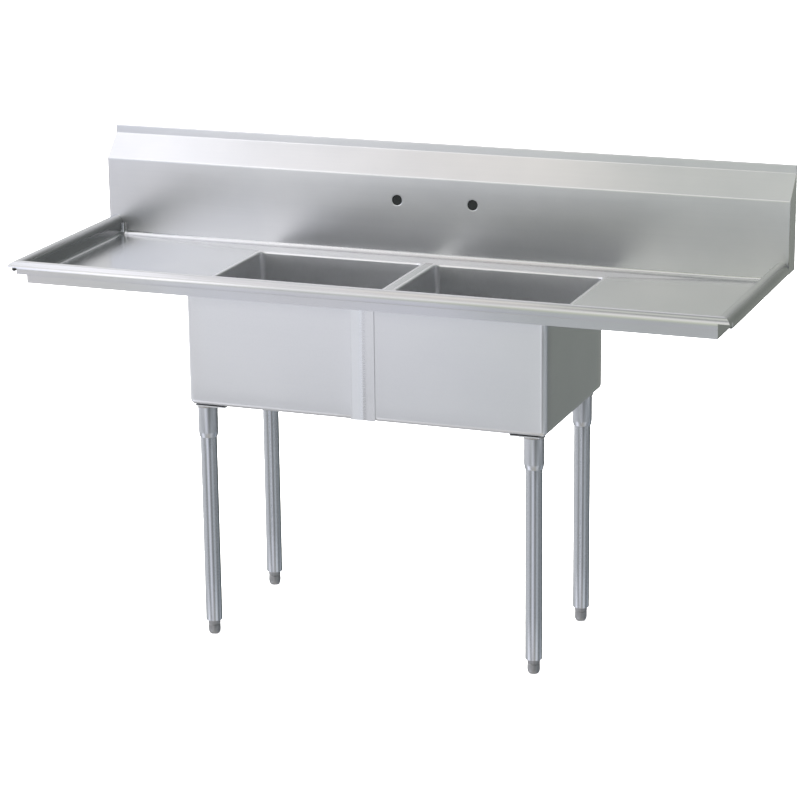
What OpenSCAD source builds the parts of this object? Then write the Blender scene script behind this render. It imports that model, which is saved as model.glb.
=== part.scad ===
// Free standing stainless steel sink with two bowls and a drainboard at each end.
// Millimetres, real size. The origin is on the floor under the middle of the box
// that holds the whole sink. +X runs to the right hand end, +Y to the wall, +Z up.

/* [Overall] */
// Full length over the two rolled ends
overall_length = 1829; // [1500:1:2200]
// Full depth from the rolled front edge to the back of the splash hem
overall_depth = 640; // [560:1:760]
// Height of the crest of the rolled rim above the floor
rim_height = 946; // [860:1:1000]
// Thickness of the formed sheet
sheet = 1.5; // [1:0.1:2.5]

/* [Rolled rim] */
// Outside diameter of the roll
roll_d = 38; // [25:1:50]
// Height of the roll from its crest to the bottom of its lip
lip_height = 30; // [24:1:40]
// Width of the hem turned in at the bottom of the lip
hem_width = 8; // [4:1:14]
// Depth of the pan wall below the crest of the rim
skirt_depth = 59.5; // [50:0.5:90]
// Length of lip cut back at each front corner
corner_relief = 28; // [10:1:40]

/* [Deck] */
// Depth of the deck below the rim at the splash and at the outer ends
deck_drop = 50; // [30:1:70]
// Extra drop of the deck from the outer ends to the bowls
deck_pitch = 8; // [3:0.5:15]
// Width of the flange turned out round the top of each tub
tub_flange = 8; // [5:1:15]
// Depth of the hat channel under each drainboard
channel_depth = 20; // [12:1:30]
// Width of the crown of the hat channel
channel_crown = 60; // [40:1:90]
// Width of each foot of the hat channel
channel_foot = 16; // [10:1:25]

/* [Backsplash] */
// Distance from the back of the hem to the front face of the splash
splash_setback = 63; // [50:1:80]
// Height of the top of the splash above the rim
splash_rise = 230; // [150:1:300]
// Height and depth of the sloped face
splash_slope = 57; // [30:1:80]
// Height of the vertical band along the top
splash_band = 21; // [12:1:30]
// Distance between the two faucet holes
faucet_spacing = 203.2; // [101.6:0.1:203.2]
// Diameter of each faucet hole
faucet_hole_d = 27; // [22:0.5:32]
// Height of the faucet holes above the rim
faucet_height = 90; // [60:1:120]

/* [Bowls] */
// Outside width of each tub
tub_width = 443; // [350:1:520]
// Outside size of each tub from front to back
tub_length = 464; // [350:1:520]
// Gap between the two tubs
tub_gap = 36; // [20:1:60]
// Distance from the front of the rim to the front of the tubs
tub_setback = 65; // [55:1:90]
// Depth of the tub bottoms below the crest of the rim
tub_bottom_drop = 343; // [250:1:420]
// Outside radius of the coved corners and bottom edges
tub_corner = 15; // [10:1:30]
// Diameter of the recess pressed into the floor for the drain
recess_d = 118; // [115:1:130]
// Depth of the recess
recess_depth = 2.5; // [1:0.5:5]

/* [Legs] */
// Outside diameter of the leg tube
leg_d = 41.3; // [38:0.1:51]
// Wall of the leg tube
leg_wall = 1.6; // [1.2:0.1:3]
// Height of the bottom end of the leg tubes above the floor
leg_clear = 37; // [30:1:50]
// Distance from the end of the tub block to each leg centre
leg_inset_x = 38; // [30:1:80]
// Distance from the front of the tubs to the front leg centres
leg_inset_front = 29; // [26:1:60]
// Distance from the back of the tubs to the rear leg centres
leg_inset_back = 48; // [26:1:80]
// Outside diameter of the leg socket
socket_d = 49; // [46:0.5:55]
// Length of the leg socket under the gusset plate
socket_length = 81; // [60:1:100]
// Length of the tapered end of the socket
socket_taper = 12; // [6:1:20]
// Thickness of the gusset plate under each corner of the tubs
gusset_plate = 3; // [2:0.5:5]

/* [Feet] */
// Diameter of the bullet foot
foot_d = 31; // [26:1:36]
// Diameter of the foot's pad on the floor
foot_pad_d = 20; // [14:1:26]
// Diameter of the screwed stem of the foot
stem_d = 16; // [10:1:20]
// Gap between the top of the foot's body and the insert above it
foot_travel_gap = 20; // [15:1:30]
// Running clearance round moving parts
clearance = 0.3; // [0.2:0.05:0.6]

/* [Drain] */
// Diameter of the drain flange
drain_flange_d = 114; // [110:1:116]
// Outside diameter of the drain body
drain_body_d = 84; // [80:1:88]
// Outside diameter of the drain outlet
outlet_d = 38.1; // [38.1:0.1:51]
// Length of the drain below the tub floor
drain_length = 56; // [45:1:60]
// Number of slots round the strainer basket
basket_slots = 16; // [8:1:24]

/* [View] */
// Name of the sub-part to show

/* [Hidden] */
$fn = 64;
eps = 0.01;
half_x = overall_length / 2;
front_y = -overall_depth / 2;
back_y = overall_depth / 2;
roll_r = roll_d / 2;
roll_z = rim_height - roll_r;
lip_z = rim_height - lip_height;
skirt_z = rim_height - skirt_depth;
wall_y = front_y + roll_d;
wall_x = half_x - roll_d;
splash_y = back_y - splash_setback;
splash_top = rim_height + splash_rise;
band_z = splash_top - splash_band;
slope_z = band_z - splash_slope;
band_y = splash_y + splash_slope;
faucet_z = rim_height + faucet_height;
deck_z = rim_height - deck_drop;
bowl_z = deck_z - deck_pitch;
tub_z = rim_height - tub_bottom_drop;
tub_x0 = tub_gap / 2;
tub_x1 = tub_x0 + tub_width;
tub_y0 = front_y + tub_setback;
tub_y1 = tub_y0 + tub_length;
tub_cx = (tub_x0 + tub_x1) / 2;
tub_cy = (tub_y0 + tub_y1) / 2;
flange_x0 = tub_x0 - tub_flange;
flange_x1 = tub_x1 + tub_flange;
flange_y0 = tub_y0 - tub_flange;
flange_y1 = tub_y1 + tub_flange;
floor_z = tub_z + sheet;
recess_z = floor_z - recess_depth;
leg_x = tub_x1 - leg_inset_x;
leg_front = tub_y0 + leg_inset_front;
leg_back = tub_y1 - leg_inset_back;
gusset_z = tub_z - gusset_plate;
socket_z = gusset_z - socket_length;
leg_top = gusset_z - 6;
leg_bore = leg_d - 2 * leg_wall;
foot_top = leg_clear + 33;
insert_z = foot_top + foot_travel_gap;
insert_h = 24;
stem_top = insert_z + insert_h + 18;
flange_t = 2;
body_r = drain_body_d / 2;
body_in = body_r - 2.5;
drain_top = recess_z + flange_t;
gasket_z = recess_z - sheet;
gasket_t = 3;
nut_t = 9;
drain_z = tub_z - drain_length;
ledge_z = drain_top - 24;
run_x = wall_x - flange_x1;
pitch_angle = atan(deck_pitch / run_x);
channel_x0 = flange_x1 + 12;
channel_x1 = wall_x - 14;
channel_y = -10;

// Rolled rim in section: u is the distance in from the outer edge, v is the height.
// A pan wall rises to a half round roll, which comes down in a lip with a hem.
module rim_section() {
    difference() {
        translate([roll_r, roll_z]) circle(r = roll_r);
        translate([roll_r, roll_z]) circle(r = roll_r - sheet);
        translate([-1, roll_z - roll_d]) square([roll_d + 2, roll_d]);
    }
    translate([0, lip_z]) square([sheet, roll_z - lip_z]);
    translate([0, lip_z]) square([hem_width, sheet]);
    translate([roll_d - sheet, skirt_z]) square([sheet, roll_z - skirt_z]);
}

// Region kept by the front rim: everything in front of the two 45 degree mitres.
module front_mitre_region() {
    reach = roll_d + 1;
    translate([0, 0, skirt_z - 1])
        linear_extrude(skirt_depth + 2)
            polygon([[-half_x - 1, front_y - 1], [half_x + 1, front_y - 1],
                [half_x - reach, front_y + reach], [-half_x + reach, front_y + reach]]);
}

// Lip and lower half of the roll cut away beside a front corner.
module corner_relief_cut(side) {
    sx = side < 0 ? -half_x - 1 : half_x - corner_relief;
    translate([sx, front_y - 1, lip_z - 1])
        cube([corner_relief + 1, corner_relief + 1, lip_height - roll_r + 6]);
}

module front_rim() {
    color("Silver") difference() {
        intersection() {
            translate([half_x, front_y, 0])
                rotate([90, 0, -90])
                    mirror([1, 0, 0])
                        linear_extrude(overall_length) rim_section();
            front_mitre_region();
        }
        corner_relief_cut(-1);
        corner_relief_cut(1);
    }
}

// One end rim, drawn for the right hand end and mirrored for the left.
module end_rim() {
    difference() {
        translate([half_x, splash_y, 0])
            rotate([90, 0, 0])
                mirror([1, 0, 0])
                    linear_extrude(splash_y - front_y) rim_section();
        front_mitre_region();
        corner_relief_cut(1);
    }
}

module right_end_rim() {
    color("Silver") end_rim();
}

module left_end_rim() {
    color("Silver") mirror([1, 0, 0]) end_rim();
}

// Backsplash in section: u runs back from the splash face, v is the height.
module splash_section() {
    d = sheet * tan(22.5);
    polygon([[0, skirt_z], [sheet, skirt_z], [sheet, slope_z - d],
        [sheet + splash_slope, band_z - d],
        [sheet + splash_slope, splash_top - sheet],
        [splash_setback, splash_top - sheet],
        [splash_setback, splash_top],
        [splash_slope, splash_top],
        [splash_slope, band_z],
        [0, slope_z]]);
}

module backsplash() {
    color("Silver") difference() {
        translate([half_x - sheet, splash_y, 0])
            rotate([90, 0, -90])
                mirror([1, 0, 0])
                    linear_extrude(overall_length - 2 * sheet) splash_section();
        for (s = [-1, 1]) {
            translate([s * faucet_spacing / 2, splash_y - 5, faucet_z])
                rotate([-90, 0, 0]) cylinder(d = faucet_hole_d, h = 15);
            // Behind each end roll the sheet stops at the level of the lip.
            translate([s > 0 ? half_x - roll_d : -half_x - 1, splash_y - 1, skirt_z - 1])
                cube([roll_d + 1, 5, lip_z - skirt_z + 1]);
        }
    }
}

// End cap: a plate that closes the end of the splash, with a flange turned in at
// its back edge.
module splash_cap() {
    translate([half_x, splash_y, 0])
        rotate([90, 0, -90])
            mirror([1, 0, 0])
                linear_extrude(sheet)
                    polygon([[0, lip_z], [splash_setback, lip_z],
                        [splash_setback, splash_top], [splash_slope, splash_top],
                        [splash_slope, band_z], [0, slope_z]]);
    translate([half_x - 14, back_y - sheet, lip_z])
        cube([14 - sheet, sheet, splash_top - sheet - lip_z]);
}

module right_splash_cap() {
    color("Silver") splash_cap();
}

module left_splash_cap() {
    color("Silver") mirror([1, 0, 0]) splash_cap();
}

// Solid under the drainboard surface: the main floor falls to the bowl, and a
// back facet falls from the splash. They meet in a diagonal crease.
module drainboard_form(low) {
    translate([0, splash_y, 0])
        rotate([90, 0, 0])
            linear_extrude(splash_y - wall_y)
                polygon([[flange_x1, low], [wall_x, low],
                    [wall_x, deck_z], [flange_x1, bowl_z]]);
    translate([flange_x1, 0, 0])
        rotate([90, 0, 90])
            linear_extrude(run_x)
                polygon([[flange_y1, low], [splash_y, low],
                    [splash_y, deck_z], [flange_y1, bowl_z]]);
}

module drainboard() {
    difference() {
        drainboard_form(bowl_z - 30);
        translate([0, 0, -sheet]) drainboard_form(bowl_z - 40);
    }
}

module right_drainboard() {
    color("Gainsboro") drainboard();
}

module left_drainboard() {
    color("Gainsboro") mirror([1, 0, 0]) drainboard();
}

module back_ledge() {
    color("Gainsboro") translate([-flange_x1, 0, 0])
        rotate([90, 0, 90])
            linear_extrude(2 * flange_x1)
                polygon([[flange_y1, bowl_z - sheet], [splash_y, deck_z - sheet],
                    [splash_y, deck_z], [flange_y1, bowl_z]]);
}

module front_ledge() {
    color("Gainsboro") translate([-flange_x1, wall_y, bowl_z - sheet])
        cube([2 * flange_x1, flange_y0 - wall_y, sheet]);
}

module divider_cap() {
    color("Gainsboro") translate([-flange_x0, flange_y0, bowl_z - sheet])
        cube([2 * flange_x0, flange_y1 - flange_y0, sheet]);
}

// Box with round vertical edges and round bottom edges, open at the top.
module coved_block(x0, x1, y0, y1, z0, z1, r) {
    translate([x0 + r, y0, z0 + r]) cube([x1 - x0 - 2 * r, y1 - y0, z1 - z0 - r]);
    translate([x0, y0 + r, z0 + r]) cube([x1 - x0, y1 - y0 - 2 * r, z1 - z0 - r]);
    translate([x0 + r, y0 + r, z0]) cube([x1 - x0 - 2 * r, y1 - y0 - 2 * r, r + 1]);
    for (x = [x0 + r, x1 - r])
        for (y = [y0 + r, y1 - r]) {
            translate([x, y, z0 + r]) cylinder(r = r, h = z1 - z0 - r);
            translate([x, y, z0 + r]) sphere(r = r);
        }
    for (x = [x0 + r, x1 - r])
        translate([x, y0 + r, z0 + r])
            rotate([-90, 0, 0]) cylinder(r = r, h = y1 - y0 - 2 * r);
    for (y = [y0 + r, y1 - r])
        translate([x0 + r, y, z0 + r])
            rotate([0, 90, 0]) cylinder(r = r, h = x1 - x0 - 2 * r);
}

// One tub, drawn for the right hand side: walls, coved floor, a flange turned out
// round the top and a pressed recess with the drain hole.
module tub() {
    t = sheet;
    difference() {
        union() {
            coved_block(tub_x0, tub_x1, tub_y0, tub_y1, tub_z, bowl_z, tub_corner);
            translate([flange_x0, flange_y0, bowl_z - t])
                cube([flange_x1 - flange_x0, flange_y1 - flange_y0, t]);
            translate([tub_cx, tub_cy, recess_z - t])
                cylinder(d = recess_d + 2 * t, h = t + recess_depth);
        }
        coved_block(tub_x0 + t, tub_x1 - t, tub_y0 + t, tub_y1 - t,
            floor_z, bowl_z + 1, tub_corner - t);
        translate([tub_cx, tub_cy, recess_z]) cylinder(d = recess_d, h = 10);
        translate([tub_cx, tub_cy, recess_z - 10])
            cylinder(d = drain_body_d + 0.4, h = 20);
    }
}

module right_tub() {
    color("LightGray") tub();
}

module left_tub() {
    color("LightGray") mirror([1, 0, 0]) tub();
}

// Strip that closes the groove between the two tubs, in plan: a shallow V whose
// valley points between the tubs.
module filler_section() {
    w = tub_x0 + tub_corner - 2;
    polygon([[-w, 0], [0, 3], [w, 0], [w, -sheet], [0, 3 - sheet], [-w, -sheet]]);
}

module front_filler_strip() {
    color("LightGray") translate([0, tub_y0, tub_z + 2])
        linear_extrude(bowl_z - sheet - tub_z - 2) filler_section();
}

module rear_filler_strip() {
    color("LightGray") translate([0, tub_y1, tub_z + 2])
        rotate([0, 0, 180])
            linear_extrude(bowl_z - sheet - tub_z - 2) filler_section();
}

// Hat channel, crown down, laid along the pitched floor of the drainboard.
module stiffener() {
    w = channel_crown / 2;
    f = w + channel_foot;
    d = channel_depth;
    t = sheet;
    translate([flange_x1, channel_y, bowl_z - sheet / cos(pitch_angle)])
        rotate([0, -pitch_angle, 0])
            translate([channel_x0 - flange_x1, 0, 0])
                rotate([90, 0, 90])
                    linear_extrude(channel_x1 - channel_x0)
                        polygon([[-f, 0], [-f, -t], [-w - t, -t], [-w, -d], [w, -d],
                            [w + t, -t], [f, -t], [f, 0], [w, 0], [w - t, -d + t],
                            [-w + t, -d + t], [-w, 0]]);
}

module right_stiffener() {
    color("DarkGray") stiffener();
}

module left_stiffener() {
    color("DarkGray") mirror([1, 0, 0]) stiffener();
}

// Gusset plate welded under a corner of the tub, drawn for a leg at +X.
module gusset() {
    translate([-56, -24, gusset_z]) {
        translate([6, 0, 0]) cube([68, 72, gusset_plate]);
        translate([0, 6, 0]) cube([80, 60, gusset_plate]);
        for (x = [6, 74])
            for (y = [6, 66])
                translate([x, y, 0]) cylinder(r = 6, h = gusset_plate);
    }
}

// Places one leg's part. The part is drawn for the front right leg.
module at_leg(side, rear) {
    translate([side * leg_x, rear ? leg_back : leg_front, 0])
        mirror([side < 0 ? 1 : 0, 0, 0])
            mirror([0, rear ? 1 : 0, 0]) children();
}

module front_left_gusset() {
    color("DarkGray") at_leg(-1, false) gusset();
}

module front_right_gusset() {
    color("DarkGray") at_leg(1, false) gusset();
}

module rear_left_gusset() {
    color("DarkGray") at_leg(-1, true) gusset();
}

module rear_right_gusset() {
    color("DarkGray") at_leg(1, true) gusset();
}

// Leg socket: a sleeve with a tapered lower end and one tapped side hole, which
// always faces the wall.
module socket(rear) {
    r = socket_d / 2;
    b = leg_d / 2 + 0.25;
    difference() {
        rotate_extrude()
            polygon([[b, socket_z], [b + 1, socket_z], [r, socket_z + socket_taper],
                [r, gusset_z], [b, gusset_z]]);
        translate([0, 0, socket_z + 34])
            rotate([rear ? 90 : -90, 0, 0]) cylinder(d = 8.2, h = r + 5);
    }
}

module front_left_socket() {
    color("Silver") at_leg(-1, false) socket(false);
}

module front_right_socket() {
    color("Silver") at_leg(1, false) socket(false);
}

module rear_left_socket() {
    color("Silver") at_leg(-1, true) socket(true);
}

module rear_right_socket() {
    color("Silver") at_leg(1, true) socket(true);
}

// Socket set screw with a hexagon recess in its outer end.
module set_screw(rear) {
    b = leg_d / 2;
    translate([0, rear ? -b : b, socket_z + 34])
        rotate([rear ? 90 : -90, 0, 0])
            difference() {
                cylinder(d = 8, h = 7);
                translate([0, 0, 3]) cylinder(d = 4.6, h = 5, $fn = 6);
            }
}

module socket_set_screws() {
    color("DimGray") {
        at_leg(-1, false) set_screw(false);
        at_leg(1, false) set_screw(false);
        at_leg(-1, true) set_screw(true);
        at_leg(1, true) set_screw(true);
    }
}

module leg() {
    difference() {
        translate([0, 0, leg_clear]) cylinder(d = leg_d, h = leg_top - leg_clear);
        translate([0, 0, leg_clear - 1]) cylinder(d = leg_bore, h = leg_top);
    }
}

module front_left_leg() {
    color("Silver") at_leg(-1, false) leg();
}

module front_right_leg() {
    color("Silver") at_leg(1, false) leg();
}

module rear_left_leg() {
    color("Silver") at_leg(-1, true) leg();
}

module rear_right_leg() {
    color("Silver") at_leg(1, true) leg();
}

// Tapped plug pressed into the lower end of the leg tube.
module foot_insert() {
    difference() {
        translate([0, 0, insert_z]) cylinder(d = leg_bore, h = insert_h);
        translate([0, 0, insert_z - 1])
            cylinder(d = stem_d + 2 * clearance, h = insert_h + 2);
    }
}

module front_left_foot_insert() {
    color("DimGray") at_leg(-1, false) foot_insert();
}

module front_right_foot_insert() {
    color("DimGray") at_leg(1, false) foot_insert();
}

module rear_left_foot_insert() {
    color("DimGray") at_leg(-1, true) foot_insert();
}

module rear_right_foot_insert() {
    color("DimGray") at_leg(1, true) foot_insert();
}

// Bullet foot: a pad that widens to a round body, with the screwed stem on top.
module bullet_foot() {
    r = foot_d / 2;
    p = foot_pad_d / 2;
    s = stem_d / 2;
    rotate_extrude()
        polygon([[0, 0], [p, 0], [p + 1.5, 1], [r - 2, 9], [r, 14], [r, foot_top - 2],
            [r - 2, foot_top], [s, foot_top], [s, stem_top - 1.5],
            [s - 1.5, stem_top], [0, stem_top]]);
}

module front_left_bullet_foot() {
    color("Gray") at_leg(-1, false) bullet_foot();
}

module front_right_bullet_foot() {
    color("Gray") at_leg(1, false) bullet_foot();
}

module rear_left_bullet_foot() {
    color("Gray") at_leg(-1, true) bullet_foot();
}

module rear_right_bullet_foot() {
    color("Gray") at_leg(1, true) bullet_foot();
}

// Drain body: a flange in the floor recess, a cup with a seat for the basket, and
// a cone that leads down to the outlet.
module drain_body() {
    o = outlet_d / 2;
    f = drain_flange_d / 2;
    translate([tub_cx, tub_cy, 0])
        rotate_extrude()
            polygon([[body_in, drain_top], [f - 1, drain_top], [f, drain_top - 1],
                [f, recess_z], [body_r, recess_z], [body_r, ledge_z - 6],
                [o + 4, ledge_z - 16], [o, ledge_z - 16], [o, drain_z],
                [o - 2, drain_z], [o - 2, ledge_z - 13], [body_in - 12, ledge_z - 4],
                [body_in - 12, ledge_z], [body_in, ledge_z]]);
}

module right_drain_body() {
    color("Silver") drain_body();
}

module left_drain_body() {
    color("Silver") mirror([1, 0, 0]) drain_body();
}

module drain_gasket() {
    translate([tub_cx, tub_cy, gasket_z - gasket_t])
        difference() {
            cylinder(r = body_r + 13, h = gasket_t);
            translate([0, 0, -1]) cylinder(r = body_r, h = gasket_t + 2);
        }
}

module right_drain_gasket() {
    color("Black") drain_gasket();
}

module left_drain_gasket() {
    color("Black") mirror([1, 0, 0]) drain_gasket();
}

// Locknut: a ring with eight lugs for the spanner.
module drain_locknut() {
    z = gasket_z - gasket_t - nut_t;
    translate([tub_cx, tub_cy, z])
        difference() {
            union() {
                cylinder(r = body_r + 6, h = nut_t);
                translate([0, 0, nut_t - 2.5]) cylinder(r = body_r + 11, h = 2.5);
                for (a = [0:45:315])
                    rotate([0, 0, a])
                        translate([body_r + 3, -5, 0]) cube([8, 10, nut_t]);
            }
            translate([0, 0, -1]) cylinder(r = body_r, h = nut_t + 2);
        }
}

module right_drain_locknut() {
    color("Gainsboro") drain_locknut();
}

module left_drain_locknut() {
    color("Gainsboro") mirror([1, 0, 0]) drain_locknut();
}

// Lift-out basket: a slotted cup with a turned rim and a knob on a centre post.
module strainer_basket() {
    r = body_in - clearance;
    t = 1.2;
    z = ledge_z + clearance;
    h = drain_top - z - 1;
    translate([tub_cx, tub_cy, z]) {
        difference() {
            rotate_extrude()
                polygon([[0, 0], [r - 5, 0], [r - 2, h - t], [r, h - t], [r, h],
                    [r - 2 - t, h], [r - 5 - t, t], [0, t]]);
            for (k = [0:basket_slots - 1])
                rotate([0, 0, k * 360 / basket_slots])
                    translate([12, -1.6, -1]) cube([14, 3.2, t + 2]);
            for (k = [0:basket_slots - 1])
                rotate([0, 0, (k + 0.5) * 360 / basket_slots])
                    translate([r - 9, -1.6, 6]) cube([10, 3.2, 9]);
        }
        translate([0, 0, t - eps]) cylinder(d = 7, h = h - t + 2);
        translate([0, 0, h + 1]) cylinder(d = 17, h = 4);
        translate([0, 0, h + 5]) cylinder(d1 = 17, d2 = 12, h = 2);
    }
}

module right_strainer_basket() {
    color("Silver") strainer_basket();
}

module left_strainer_basket() {
    color("Silver") mirror([1, 0, 0]) strainer_basket();
}

front_rim();
left_end_rim();
right_end_rim();
backsplash();
left_splash_cap();
right_splash_cap();
left_drainboard();
right_drainboard();
back_ledge();
front_ledge();
divider_cap();
left_tub();
right_tub();
front_filler_strip();
rear_filler_strip();
left_stiffener();
right_stiffener();
front_left_gusset();
front_right_gusset();
rear_left_gusset();
rear_right_gusset();
front_left_socket();
front_right_socket();
rear_left_socket();
rear_right_socket();
socket_set_screws();
front_left_leg();
front_right_leg();
rear_left_leg();
rear_right_leg();
front_left_foot_insert();
front_right_foot_insert();
rear_left_foot_insert();
rear_right_foot_insert();
front_left_bullet_foot();
front_right_bullet_foot();
rear_left_bullet_foot();
rear_right_bullet_foot();
left_drain_body();
right_drain_body();
left_drain_gasket();
right_drain_gasket();
left_drain_locknut();
right_drain_locknut();
left_strainer_basket();
right_strainer_basket();
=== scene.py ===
"""Two bowl stainless sink with a drainboard at each end, laid out as an add-on.

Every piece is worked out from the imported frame, in metres, with +X to the right
hand end, +Y to the wall and +Z up."""

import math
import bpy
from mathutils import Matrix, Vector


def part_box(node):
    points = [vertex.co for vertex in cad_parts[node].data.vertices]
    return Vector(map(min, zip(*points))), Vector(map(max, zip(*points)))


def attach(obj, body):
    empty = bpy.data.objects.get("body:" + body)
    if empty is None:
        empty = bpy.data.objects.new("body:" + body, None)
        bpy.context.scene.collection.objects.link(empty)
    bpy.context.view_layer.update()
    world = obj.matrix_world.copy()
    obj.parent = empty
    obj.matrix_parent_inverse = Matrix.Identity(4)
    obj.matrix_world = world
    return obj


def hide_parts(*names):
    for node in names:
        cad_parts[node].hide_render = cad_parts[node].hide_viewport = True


bl_info = {
    "name": "Two bowl drainboard sink",
    "version": (1, 0, 0),
    "blender": (4, 5, 0),
    "location": "View3D > Sidebar > Sink",
    "description": "Builds the sheet metal, tubs, legs, drains and stage of a two bowl sink",
    "category": "Object",
}

import bmesh
import bpy
import numpy as np
from mathutils import Matrix, Vector

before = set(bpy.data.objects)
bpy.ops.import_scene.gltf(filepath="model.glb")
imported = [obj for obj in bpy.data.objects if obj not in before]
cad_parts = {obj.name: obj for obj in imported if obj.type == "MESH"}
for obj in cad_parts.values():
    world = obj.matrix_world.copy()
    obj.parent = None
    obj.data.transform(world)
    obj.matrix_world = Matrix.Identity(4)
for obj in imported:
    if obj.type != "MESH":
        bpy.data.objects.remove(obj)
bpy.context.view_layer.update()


def low(node):
    """Lowest corner of a CAD node as a numpy vector."""
    return np.array(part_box(node)[0], float)


def high(node):
    """Highest corner of a CAD node as a numpy vector."""
    return np.array(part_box(node)[1], float)


HALF_X = float(high("right_splash_cap")[0])
FRONT_Y = float(low("front_rim")[1])
WALL_Y = float(high("front_rim")[1])
WALL_X = float(low("right_end_rim")[0])
RIM_Z = float(high("front_rim")[2])
SKIRT_Z = float(low("front_rim")[2])
SPLASH_Y = float(low("backsplash")[1])
BACK_Y = float(high("backsplash")[1])
SPLASH_TOP = float(high("backsplash")[2])
DECK_Z = float(high("back_ledge")[2])
BOWL_Z = float(high("right_tub")[2])
TUB_LO = low("right_tub")
TUB_HI = high("right_tub")
FLANGE_X = float(high("back_ledge")[0])
FLANGE_Y0 = float(high("front_ledge")[1])
FLANGE_Y1 = float(low("back_ledge")[1])
TUB_X = 0.5 * float(TUB_LO[0] + TUB_HI[0])
TUB_Y = 0.5 * float(TUB_LO[1] + TUB_HI[1])
LEGS = ("front_left", "front_right", "rear_left", "rear_right")
SIDES = (("left", -1.0), ("right", 1.0))
UP = (0.0, 0.0, 1.0)
COVE_SHEET = 0.0008          # sheet left in the ground corner coves
TUB_FLANGE = 0.008           # flange round the top of a tub
PATCH_HALF = 0.030           # half side of the square of splash round a faucet hole
TUBE_WALL = 0.0016
FOOT_BODY = 0.070            # height of a foot below its threaded stem
FLOOR_REACH = 14.0
OVERHEAD_SIDE = 26.0
OVERHEAD_POWER = 9000.0      # watts
OVERHEAD_PLACE = (0.0, 3.0, 7.0)
SHADE_GAP = 0.001            # from the back of the splash to the dark discs
CAMERA_ANGLES = (20.84, 16.01, -0.66)   # azimuth, elevation and roll in degrees
CAMERA_TARGET = (0.10986, -0.29275, 0.6770)
CAMERA_DISTANCE = 6.73692
SENSOR = 36.0                # millimetres
FOCAL_RATIO = 3.545525       # focal length over the width of the sensor
SURROUND_BASE = (0.08, 0.09, 0.08)
# Azimuth from the front towards the right, elevation, half width (degrees), strength.
SURROUND = (
    (-96, 8, 28, (1.07, 1.07, 1.12)),
    (-13, 33, 12, (0.81, 0.78, 0.77)),
    (-151, 33, 18, (0.79, 0.78, 0.81)),
    (17, -58, 18, (0.49, 0.44, 0.35)),
    (94, 9, 12, (1.55, 1.59, 1.70)),
    (-48, 83, 12, (0.88, 0.89, 0.81)),
    (-53, 28, 12, (1.70, 1.66, 1.68)),
    (3, -21, 12, (0.90, 0.91, 1.05)),
    (-53, -40, 12, (1.52, 1.53, 1.70)),
    (-177, -1, 12, (0.88, 0.91, 0.83)),
    (60, -31, 12, (0.84, 0.88, 0.98)),
    (125, -34, 12, (0.46, 0.50, 0.59)),
    (-11, 7, 12, (0.57, 0.60, 0.47)),
    (22, 52, 12, (0.84, 0.87, 0.94)),
    (-121, 15, 12, (1.70, 1.60, 1.60)),
    (179, -76, 18, (0.78, 0.78, 0.85)),
)
# Axis a soft panel faces along, its place on that axis, its two spans, its strength.
PANELS = (
    ("z", 2.50, (-3.20, -1.90), (-1.60, 0.50), (0.06, 0.09, 0.12)),
    ("z", 2.50, (-1.90, -1.20), (-1.60, 0.50), (0.88, 0.86, 0.93)),
    ("z", 2.50, (-1.20, -0.60), (-1.60, 0.50), (0.46, 0.43, 0.46)),
    ("z", 2.50, (-0.60, 0.00), (-1.60, 0.50), (0.36, 0.31, 0.30)),
    ("y", -2.20, (-2.60, -1.90), (0.02, 0.75), (0.58, 0.53, 0.60)),
    ("y", -2.20, (-1.90, -1.45), (0.02, 0.75), (0.43, 0.42, 0.40)),
    ("y", -2.20, (-1.45, -1.10), (0.02, 0.75), (0.50, 0.50, 0.60)),
    ("y", -2.20, (-1.10, -0.75), (0.02, 0.75), (0.42, 0.40, 0.45)),
    ("y", -2.20, (-0.75, -0.35), (0.02, 0.75), (0.36, 0.35, 0.45)),
    ("y", -2.20, (-0.35, 0.10), (0.02, 0.75), (0.08, 0.09, 0.10)),
    ("y", -2.20, (-3.00, -1.90), (0.90, 2.00), (0.19, 0.24, 0.53)),
    ("y", -2.20, (-1.90, -1.20), (0.90, 2.00), (1.01, 0.97, 1.05)),
    ("y", -2.20, (-1.20, -0.50), (0.90, 2.00), (0.19, 0.18, 0.25)),
)


# ---------------------------------------------------------------- properties


def length_of(name, description, default, least, most):
    """A length in metres that the sidebar shows."""
    return bpy.props.FloatProperty(
        name=name, description=description, default=default, min=least, max=most,
        subtype="DISTANCE", unit="LENGTH", precision=5)


def colour_of(name, description, default):
    """A colour that the sidebar shows."""
    return bpy.props.FloatVectorProperty(
        name=name, description=description, default=default, size=3, min=0.0, max=1.0,
        subtype="COLOR")


class SinkSheetSizes(bpy.types.PropertyGroup):
    """Sizes of the formed sheet metal."""

    sheet: length_of("Sheet thickness", "Thickness of the formed sheet", 0.0015, 0.0008, 0.003)
    lip: length_of("Lip height", "From the crest of the roll to the bottom of its lip", 0.030, 0.02, 0.05)
    hem: length_of("Hem width", "Hem turned in under the lip", 0.008, 0.003, 0.014)
    relief: length_of(
        "Corner relief", "Length of lip left off beside each front corner", 0.028, 0.01, 0.05)
    cove: length_of(
        "Cove radius", "Inside radius where the deck turns up into the walls", 0.010, 0.004, 0.02)
    bend: length_of(
        "Bend radius", "Outside radius of the press brake bends in the splash", 0.005, 0.002, 0.012)
    band: length_of(
        "Top band", "Height of the vertical band along the top of the splash", 0.021, 0.01, 0.03)
    slope: length_of("Slope", "Rise and depth of the sloped face of the splash", 0.057, 0.03, 0.08)
    tap_centres: length_of("Faucet centres", "Distance between the two faucet holes", 0.2032, 0.1, 0.21)
    tap_hole: length_of("Faucet hole", "Diameter of each faucet hole", 0.027, 0.02, 0.035)
    tap_rise: length_of("Faucet height", "Height of the faucet holes above the rim", 0.090, 0.06, 0.12)


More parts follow.
